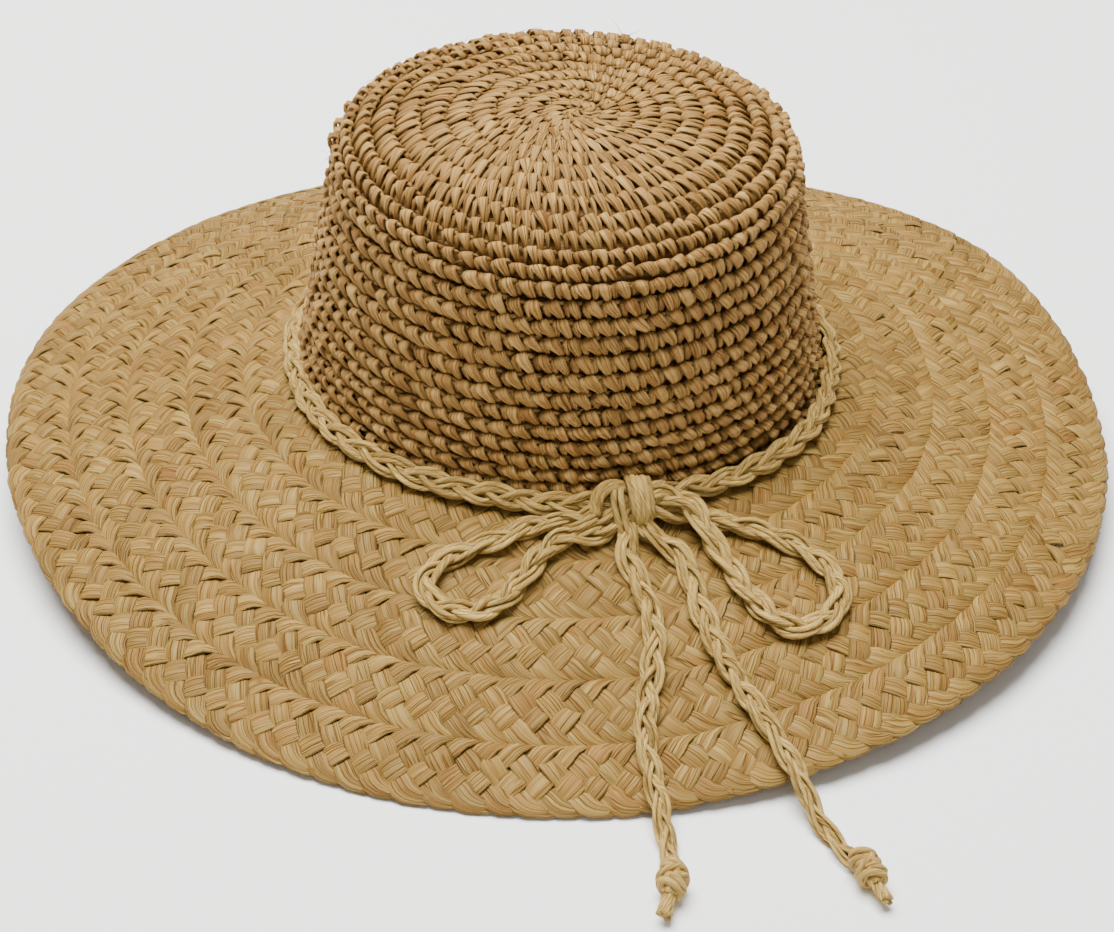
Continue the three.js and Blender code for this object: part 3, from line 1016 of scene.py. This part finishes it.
class RAFFIA_OT_bow_knot(bpy.types.Operator):
    """Ties the knot of the bow: the plait wraps over itself at the front of the band"""

    bl_idname = "raffia_hat.bow_knot"
    bl_label = "Bow knot"

    # Routes in the knot's own frame: across, up and out from its middle, in millimetres
    wrap = ((2.6, 5.0, -4.5), (2.6, 8.2, -1.0), (2.4, 8.4, 2.6), (2.2, 5.4, 5.2), (2.2, 1.4, 6.2),
            (2.2, -2.0, 5.8), (2.0, -4.8, 4.4), (1.2, -6.8, 1.6), (0.8, -6.4, -2.6))
    arch = ((-13.6, -2.4, 0.6), (-13.0, 2.6, 1.8), (-10.4, 5.8, 2.6), (-6.6, 7.0, 2.8),
            (-2.6, 6.2, 2.0), (1.0, 3.4, 0.4))
    hang = ((-3.6, 6.2, 1.8), (-5.4, 5.0, 4.2), (-6.2, 1.6, 5.0), (-6.0, -2.6, 4.6),
            (-5.4, -7.2, 3.6), (-4.6, -11.6, 1.6))
    under = ((-12.4, -3.6, -0.6), (-8.0, -3.0, 1.2), (-3.0, -2.4, 2.0), (2.0, -1.6, 2.4),
             (7.0, -0.6, 1.6), (11.0, 0.8, -0.6))
    back = ((-13.0, 2.2, -2.4), (-7.0, 2.6, -0.6), (0.0, 2.8, 0.4), (7.0, 3.4, -0.4), (13.0, 4.0, -2.4))
    # Route, the middle that it bends round, plies beside each other, their gap and their size
    turns = (
        (wrap, (1, 0, -1), 5, 1.75, 1.12),
        (arch, (-7, -2, -5), 3, 1.9, 1.05),
        (hang, (-6, -2, -8), 2, 2.5, 1.15),
        (under, (0, 0, -9), 3, 1.9, 1.05),
        (back, (0, 0, -12), 4, 1.9, 1.1),
    )
    step = 1.3 * MM
    # Every second ply lies this much higher
    lift = 0.35 * MM
    # Places of the rings of straw inside the knot, across it in millimetres, and their half axes
    inside = (-3.4, -0.8, 1.8, 4.4)
    inside_up = 3.6 * MM
    inside_out = 2.0 * MM
    inside_ply = (1.9 * MM, 1.7 * MM)

    def execute(self, context):
        cos, sin = math.cos(KNOT_ANGLE), math.sin(KNOT_ANGLE)
        out_flat = np.array([cos, sin, 0])
        across = np.array([-sin, cos, 0])
        up = -math.sin(BAND_LEAN) * out_flat + np.array([0, 0, math.cos(BAND_LEAN)])
        out = math.cos(BAND_LEAN) * out_flat + np.array([0, 0, math.sin(BAND_LEAN)])
        middle = np.array([KNOT_RADIUS * cos, KNOT_RADIUS * sin, KNOT_HEIGHT])
        axes = np.array([across, up, out])
        bundle = Bundle(sizes().seed + 30)
        for route, heart, plies, gap, scale in self.turns:
            line = middle + smooth_line(route, self.step) @ axes
            away = unit(line - (middle + np.array(heart) * MM @ axes))
            along = unit(np.gradient(line, axis=0))
            away = unit(away - along * np.sum(away * along, axis=1)[:, None])
            beside = np.cross(away, along)
            # The plies gather where they go in under each other, and spread in between
            spread = 0.72 + 0.34 * np.sin(np.linspace(0.25, math.pi - 0.1, len(line)))
            for k in range(plies):
                place_across = (k - (plies - 1) / 2) * gap * MM * spread
                ply_line = line + beside * place_across[:, None] + away * self.lift * (k % 2)
                add_plies(
                    bundle, ply_line, beside, away, scale * sizes().ply_half_width,
                    scale * sizes().ply_half_depth * 1.15,
                )
        self.fill(bundle, middle, across, up, out)
        seat(bundle.piece("tied_bow_knot", straw("tie")), "tie_raffia", "bow_knot")
        return {"FINISHED"}

    def fill(self, bundle, middle, across, up, out):
        """Straw inside the knot, seen only between its turns."""
        turn = np.linspace(0, 2 * math.pi, 21)[:, None]
        for shift in self.inside:
            line = (
                middle + across * shift * MM
                + self.inside_up * np.sin(turn) * up + self.inside_out * np.cos(turn) * out
            )
            outward = unit(np.sin(turn) * up + np.cos(turn) * out)
            add_plies(bundle, line, across, outward, *self.inside_ply)


class RAFFIA_OT_brim(bpy.types.Operator):
    """Braids the five sewn rounds of the brim, each of five flat strands"""

    bl_idname = "raffia_hat.brim"
    bl_label = "Brim"

    rings = 18
    # A strand runs this many pitches along the braid on its way over it
    pitches_over = 2.5
    # Share of that way that one crossing takes
    crossing = 0.2
    # Where a strand turns back it runs on along the edge for a share of a pitch, drawn to a point
    edge_run = 0.6
    edge_width = 0.36
    edge_depth = 1.3
    edge_lean = math.radians(13)
    # At the rim the ends bulge less, tuck in, and sink less than at a seam
    rim_overrun = 0.3
    rim_tuck = 1.5 * MM
    rim_dip = 0.25
    # How unlike the strands are: width, place in pitches, bow in millimetres, depth, rise and lean
    uneven_width = 0.06
    uneven_place = 0.04
    uneven_bow = 0.5
    uneven_depth = 0.08
    uneven_rise = 0.12
    uneven_lean = 0.07

    def execute(self, context):
        strand = straight_strand(10, self.rings, 0.92)
        for row, pitches in enumerate(BRAID_PITCHES):
            bundle = Bundle(sizes().seed + 100 + row)
            for heading in (1, -1):
                self.braid(bundle, strand, row, pitches, heading)
            seat(bundle.piece(f"braid_round_{row + 1}", straw("brim")), "brim_raffia", "brim")
        return {"FINISHED"}

    def braid(self, bundle, strand, row, pitches, heading):
        """Lays all strands that run out, or all that run back in."""
        size = sizes()
        width = (BRIM_RADIUS - FOOT_RADIUS) / len(BRAID_PITCHES)
        radius = FOOT_RADIUS + width * (row + 0.5)
        pitch = 2 * math.pi * radius / pitches
        half = width / 2
        last = row == len(BRAID_PITCHES) - 1
        middle = math.hypot(half, pitch)
        room = pitch * half / middle
        t = np.linspace(0, 1, self.rings)
        end = np.sign(2 * t - 1)
        at_edge = np.clip(1 - np.minimum(t, 1 - t) / self.crossing, 0, 1)
        reach = self.reach_out(t, at_edge, half, heading, last)
        run = self.pitches_over * pitch * t + end * self.edge_run * pitch * at_edge**2
        run_out, run_along = np.gradient(reach, t), np.gradient(run, t)
        length = np.hypot(run_out, run_along)
        side_along, side_out = -run_out / length, run_along / length
        # A strand starts low at the edge, crosses over, under, over and under, and ends high
        weave = np.where(
            at_edge > 0, -end * (1 - 1.35 * at_edge**2),
            np.cos(math.pi * (t - self.crossing) / self.crossing),
        )
        over = np.maximum(0, weave)
        first = np.arange(pitches) + (0 if heading > 0 else 0.5)
        random = bundle.random
        loose = random.normal(1, self.uneven_width, (pitches, 1))
        shift = random.normal(0, self.uneven_place, (pitches, 1)) * pitch
        bow = random.normal(0, self.uneven_bow, (pitches, 1)) * MM * np.sin(math.pi * t)
        along = first[:, None] * pitch + run + shift + bow
        draw = at_edge**1.3
        half_width = 0.5 * room * size.braid_cover * (1 - (1 - self.edge_width) * draw)
        half_width = half_width * (0.96 + 0.08 * over) * loose
        half_depth = size.braid_half_depth * (1 + (self.edge_depth - 1) * draw) * (0.9 + 0.2 * over)
        half_depth = half_depth * random.normal(1, self.uneven_depth, (pitches, 1))
        rise = size.braid_lift * weave * random.normal(1, self.uneven_rise, (pitches, 1))
        lean_by = random.normal(0, self.uneven_lean, (pitches, 1))
        lean = (self.edge_lean * at_edge**0.5 + lean_by) * heading
        ring = strand.ring
        across = half_width[:, ring] * strand.points[:, 1]
        deep = half_depth[:, ring] * strand.points[:, 2]
        cos, sin = np.cos(lean)[:, ring], np.sin(lean)[:, ring]
        across, deep = across * cos - deep * sin, across * sin + deep * cos
        x = along[:, ring] + across * side_along[ring]
        y = reach[ring] + across * side_out[ring]
        z = rise[:, ring] + deep
        points = self.on_round(x, y, z, radius, half, last)
        bundle.add(strand, points, 2.2 * room, self.pitches_over * middle)

    def reach_out(self, t, at_edge, half, heading, last):
        """How far out from the middle of its round a strand is, all along its way."""
        tau = 2 * t - 1
        # Over the braid the strand swings out and back, and at its edges it turns into them
        left = 1 - self.swing(1 - 2 * self.crossing)
        turning = np.sign(tau) * (1 - left * (1 - at_edge) ** 1.6)
        reach = half * np.where(at_edge > 0, turning, self.swing(tau)) * heading
        overrun = sizes().braid_overrun * (reach / half) * np.abs(reach / half)
        if last:
            # At the rim the drawn-out ends tuck in behind the next bend, which leaves the edge wavy
            tucked = self.rim_overrun * overrun - self.rim_tuck * at_edge**2.5
            overrun = np.where(reach > 0, tucked, overrun)
        return reach + overrun

    def swing(self, tau):
        """How far out a strand is on its way over the braid, as a share of half its width."""
        return 1.25 * tau - 0.25 * tau**3

    def on_round(self, x, y, z, radius, half, last):
        """Bends a flat stretch of braid, which runs clockwise from above, onto its round."""
        size = sizes()
        share = np.clip(y / half, -1.1, 1.1)
        dip = size.seam_dip * np.abs(share) ** 3
        if last:
            dip = np.where(share > 0, self.rim_dip * dip, dip)
        angle = BRAID_START - x / radius
        rise = z + size.brim_stand - size.braid_half_depth - size.braid_lift - dip
        return on_brim(radius + y, angle, rise)


class RAFFIA_OT_crown(bpy.types.Operator):
    """Crochets the crown in one spiral from its tip to its foot"""

    bl_idname = "raffia_hat.crown"
    bl_label = "Crown"

    stitches_on_side = 82.5
    # The first stitch stands this share of a turn past the tip, and the last this far off the foot
    first_turn = 0.1
    foot_gap = 0.02
    # Lengths of cord in a turn of the back loops: their ends never line up from round to round
    cord_lengths = 8.4
    loose_fibres = 26
    # The legs of a close stitch: sides, route, direction of its width and half its depth
    legs = (
        (8, (
            (0.46, -0.64, -0.08, 0.12), (0.50, -0.50, 0.10, 0.19), (0.43, -0.29, 0.29, 0.27),
            (0.29, -0.02, 0.43, 0.34), (0.13, 0.22, 0.53, 0.39), (0.02, 0.38, 0.49, 0.42),
            (-0.03, 0.48, 0.28, 0.39), (-0.03, 0.46, -0.04, 0.27),
        ), (1, 0.16, 0), 0.12),
        (6, (
            (-0.12, -0.62, -0.08, 0.10), (-0.14, -0.47, 0.08, 0.15), (-0.20, -0.21, 0.25, 0.20),
            (-0.28, 0.06, 0.35, 0.24), (-0.34, 0.27, 0.40, 0.26), (-0.35, 0.40, 0.28, 0.25),
            (-0.32, 0.42, 0.00, 0.18),
        ), (1, 0.3, 0), 0.10),
        (6, (
            (0.04, 0.36, 0.10, 0.14), (0.24, 0.44, 0.28, 0.17), (0.44, 0.44, 0.28, 0.17),
            (0.68, 0.36, 0.10, 0.14),
        ), (0, 1, 0), 0.11),
    )
    # The same legs where the work is pulled open
    open_legs = (
        (8, (
            (0.44, -0.60, -0.22, 0.08), (0.46, -0.44, -0.06, 0.11), (0.39, -0.25, 0.19, 0.18),
            (0.28, -0.02, 0.42, 0.26), (0.14, 0.20, 0.54, 0.34), (0.03, 0.35, 0.51, 0.39),
            (-0.02, 0.45, 0.28, 0.38), (-0.02, 0.43, -0.04, 0.26),
        ), (1, 0.16, 0), 0.12),
        (6, (
            (-0.20, -0.58, -0.22, 0.06), (-0.21, -0.42, -0.06, 0.09), (-0.24, -0.20, 0.17, 0.12),
            (-0.28, 0.04, 0.34, 0.17), (-0.33, 0.24, 0.41, 0.22), (-0.34, 0.38, 0.29, 0.23),
            (-0.32, 0.40, 0.00, 0.16),
        ), (1, 0.3, 0), 0.10),
        (6, (
            (0.06, 0.34, 0.04, 0.10), (0.24, 0.43, 0.26, 0.12), (0.44, 0.43, 0.26, 0.12),
            (0.66, 0.34, 0.02, 0.10),
        ), (0, 1, 0), 0.10),
    )
    # Where along the crown the work is pulled open most, and how far that spreads
    open_at = 80 * MM
    open_reach = 22 * MM
    # What changes down the crown, each as distances from the tip and what holds there. Stitches
    # widen, lie flatter on the top, where nothing stretches them, and wind round the tip by some
    # degrees. Straw deep in the work and further down the crown gets more painted shade, and the
    # back loops lie deeper, in stitch depths
    stitch_widths = ((0, 90 * MM), (4.4 * MM, 6.2 * MM))
    flatness = ((20 * MM, 60 * MM), (0.5, 1))
    winding = ((0, 35 * MM), (34, 0))
    painted_shade_by_distance = ((25 * MM, 60 * MM), (0.25, 0.7))
    loop_depths = ((0, 20 * MM, 60 * MM), (0.55, 0.8, 1.35))
    fewest_stitches = 5
    # Above this height, in stitch widths, straw lies free and gets no painted shade
    free_height = 0.34
    # How unlike the stitches are: size, turn in degrees, stand, and shifts across and up, in millimetres
    uneven_size = 0.08
    uneven_turn = 6
    uneven_stand = 0.3
    uneven_shifts = (0.35, 0.14)
    # Distances from the tip at which one piece of crochet ends and the next begins
    piece_ends = (92 * MM, 140 * MM)

    def execute(self, context):
        legs = [stitch_leg(*leg) for leg in self.legs]
        for leg, open_leg in zip(legs, self.open_legs):
            leg.opening = stitch_leg(*open_leg).points - leg.points
        turns, distances, counts = self.spiral()
        ends = np.searchsorted(distances, self.piece_ends)
        parts = np.split(np.arange(len(turns)), ends)
        for name, part in zip(("crochet_top", "crochet_upper_side", "crochet_lower_side"), parts):
            bundle = Bundle(sizes().seed + 200 + int(part[0]))
            self.work(bundle, legs, turns[part], distances[part], counts[part])
            self.loosen(bundle, turns[part], distances[part])
            seat(bundle.piece(name, straw("crown")), "crown_raffia", "crown")
        bundle = Bundle(sizes().seed + 202)
        self.lay_back_loops(bundle)
        seat(bundle.piece("crochet_back_loops", straw("crown")), "crown_raffia", "crown")
        return {"FINISHED"}

    def openness(self, distance):
        """How far the work is pulled open: most round the crown's edge, and a little elsewhere."""
        return 0.2 + 0.8 * np.exp(-(((distance - self.open_at) / self.open_reach) ** 2))

    def round_place(self, turn):
        return np.interp(turn, np.arange(len(CROCHET_ROUNDS)), CROCHET_ROUNDS) * MM

    def stitches_in_round(self, distance):
        """As many as fit while the crown widens, and a fixed count down its side."""
        even, radius, *_ = CROWN_LINE
        width = np.interp(distance, *self.stitch_widths)
        girth = 2 * math.pi * np.interp(distance, even, radius)
        return np.clip(girth / width, self.fewest_stitches, self.stitches_on_side)

    def spiral(self):
        """Each stitch's turn, its distance from the tip and how many stitches its round holds."""
        turn = self.first_turn
        turns, distances, counts = [], [], []
        while turn < len(CROCHET_ROUNDS) - 1 - self.foot_gap:
            distance = float(self.round_place(turn))
            count = float(self.stitches_in_round(distance))
            turns.append(turn)
            distances.append(distance)
            counts.append(count)
            turn += 1 / count
        return np.array(turns), np.array(distances), np.array(counts)

    def work(self, bundle, legs, turns, distances, counts):
        """Lays the stitches of one piece, no two quite alike."""
        size = sizes()
        even, radius, *_ = CROWN_LINE
        random = bundle.random
        count = len(turns)
        place_radius = np.interp(distances, even, radius)
        width = 2 * math.pi * place_radius / counts
        height = self.round_place(turns + 0.5) - self.round_place(turns - 0.5)
        flatness = np.interp(distances, *self.flatness)
        tint = random.random(count)
        # Heights differ less than widths
        scale = random.normal(1, self.uneven_size, (count, 2)) * (1, 0.6) + (0, 0.4)
        turn_by = random.normal(0, self.uneven_turn, count) + np.interp(distances, *self.winding)
        cos, sin = np.cos(np.radians(turn_by))[:, None], np.sin(np.radians(turn_by))[:, None]
        stand = random.normal(0, self.uneven_stand, count) * flatness * MM
        shift_across, shift_up = (random.normal(0, by, (count, 1)) * MM for by in self.uneven_shifts)
        opened = self.openness(distances) * random.uniform(0.6, 1.3, count)
        # Painted shade: more further down the crown and where the work is pulled open
        shade = np.interp(distances, *self.painted_shade_by_distance) + 0.4 * opened
        wide = width * scale[:, 0] * (1 - 0.06 * opened)
        high = height * scale[:, 1]
        for leg in legs:
            right, rise, out = np.moveaxis(leg.points + leg.opening * opened[:, None, None], 2, 0)
            wobble = random.normal(1, 0.09, (count, 1))
            across = (right * cos - rise * sin) * wide[:, None] + shift_across
            up = (right * sin + rise * cos) * high[:, None] + shift_up
            deep = (out * wobble * width[:, None] - size.stitch_depth) * flatness[:, None]
            angle = 2 * math.pi * turns[:, None] + across / np.maximum(place_radius, 4 * MM)[:, None]
            points = on_crown(distances[:, None] - up, angle, deep + stand[:, None])
            # The deeper a point lies below the free height, the more painted shade it gets
            sunk = np.clip(1 - out / self.free_height, 0, 1)
            bundle.add(leg, points, 8 * MM, 10 * MM, tint=tint, depth=shade[:, None] * sunk)

    def loosen(self, bundle, turns, distances):
        """A few fibres stand off the stitches."""
        picked = bundle.random.choice(len(turns), self.loose_fibres, replace=False)
        angle, distance = 2 * math.pi * turns[picked], distances[picked]
        feet = on_crown(distance, angle, 0.5 * MM)
        ups = unit(on_crown(distance, angle, 2 * MM) - feet)
        round_by = unit(on_crown(distance, angle + 0.01, 0.5 * MM) - feet)
        down = unit(on_crown(distance + MM, angle, 0.5 * MM) - feet)
        turn = bundle.random.uniform(0, 2 * math.pi, (self.loose_fibres, 1))
        add_loose_fibres(bundle, feet, np.cos(turn) * round_by + np.sin(turn) * down, ups)

    def lay_back_loops(self, bundle):
        """The back of each round: a thick strand that the stitches close over, painted darker as shade.
        """
        strand = straight_strand(6, 17, 1)
        last = len(CROCHET_ROUNDS) - 1.0
        starts = np.arange(self.first_turn, last, 1 / self.cord_lengths)
        turn = starts[:, None] + np.linspace(0, 1 / self.cord_lengths, strand.rings)[None]
        turn = np.minimum(turn, last)
        angle = 2 * math.pi * turn
        distance = self.round_place(turn)
        depth = -np.interp(distance, *self.loop_depths) * sizes().stitch_depth
        centre = on_crown(distance, angle, depth)
        up = unit(on_crown(distance, angle, depth + MM) - centre)
        along = unit(np.gradient(centre, axis=1))
        side = np.cross(up, along)
        half = 0.5 * (self.round_place(turn + 0.5) - self.round_place(turn - 0.5))
        # Where the work is pulled open they part, and the dark inside shows between them
        opened = self.openness(distance)
        points = bent(strand, centre, side, up, half * (1.12 - 0.27 * opened), 1.1 * MM)
        # Painted shade on the back loops, stronger where the work is pulled open
        shade = 0.34 + 0.46 * opened
        bundle.add(strand, points, 16 * MM, 60 * MM, depth=shade[:, strand.ring])


MAKERS = (
    RAFFIA_OT_stage, RAFFIA_OT_end_knots, RAFFIA_OT_free_cords, RAFFIA_OT_tie_band,
    RAFFIA_OT_bow_knot, RAFFIA_OT_brim, RAFFIA_OT_crown,
)


class RAFFIA_PT_hat(bpy.types.Panel):
    """Lists the hat's makers with its sizes and colours"""

    bl_idname = "RAFFIA_PT_hat"
    bl_label = "Raffia Hat"
    bl_space_type = "VIEW_3D"
    bl_region_type = "UI"
    bl_category = "Raffia Hat"

    def draw(self, context):
        layout = self.layout
        for maker in MAKERS:
            layout.operator(maker.bl_idname)
        for group in (context.scene.raffia_hat_sizes, context.scene.raffia_hat_colours):
            box = layout.box()
            for key in group.bl_rna.properties.keys():
                if key not in ("rna_type", "name"):
                    box.prop(group, key)


CLASSES = (RaffiaHatSizes, RaffiaHatColours, *MAKERS, RAFFIA_PT_hat)


def register():
    for kind in CLASSES:
        bpy.utils.register_class(kind)
    bpy.types.Scene.raffia_hat_sizes = bpy.props.PointerProperty(type=RaffiaHatSizes)
    bpy.types.Scene.raffia_hat_colours = bpy.props.PointerProperty(type=RaffiaHatColours)


def unregister():
    del bpy.types.Scene.raffia_hat_colours
    del bpy.types.Scene.raffia_hat_sizes
    for kind in reversed(CLASSES):
        bpy.utils.unregister_class(kind)


def main():
    register()
    bpy.ops.raffia_hat.stage()
    bpy.ops.raffia_hat.end_knots()
    bpy.ops.raffia_hat.free_cords()
    bpy.ops.raffia_hat.tie_band()
    bpy.ops.raffia_hat.bow_knot()
    bpy.ops.raffia_hat.brim()
    bpy.ops.raffia_hat.crown()


if __name__ == "__main__":
    main()
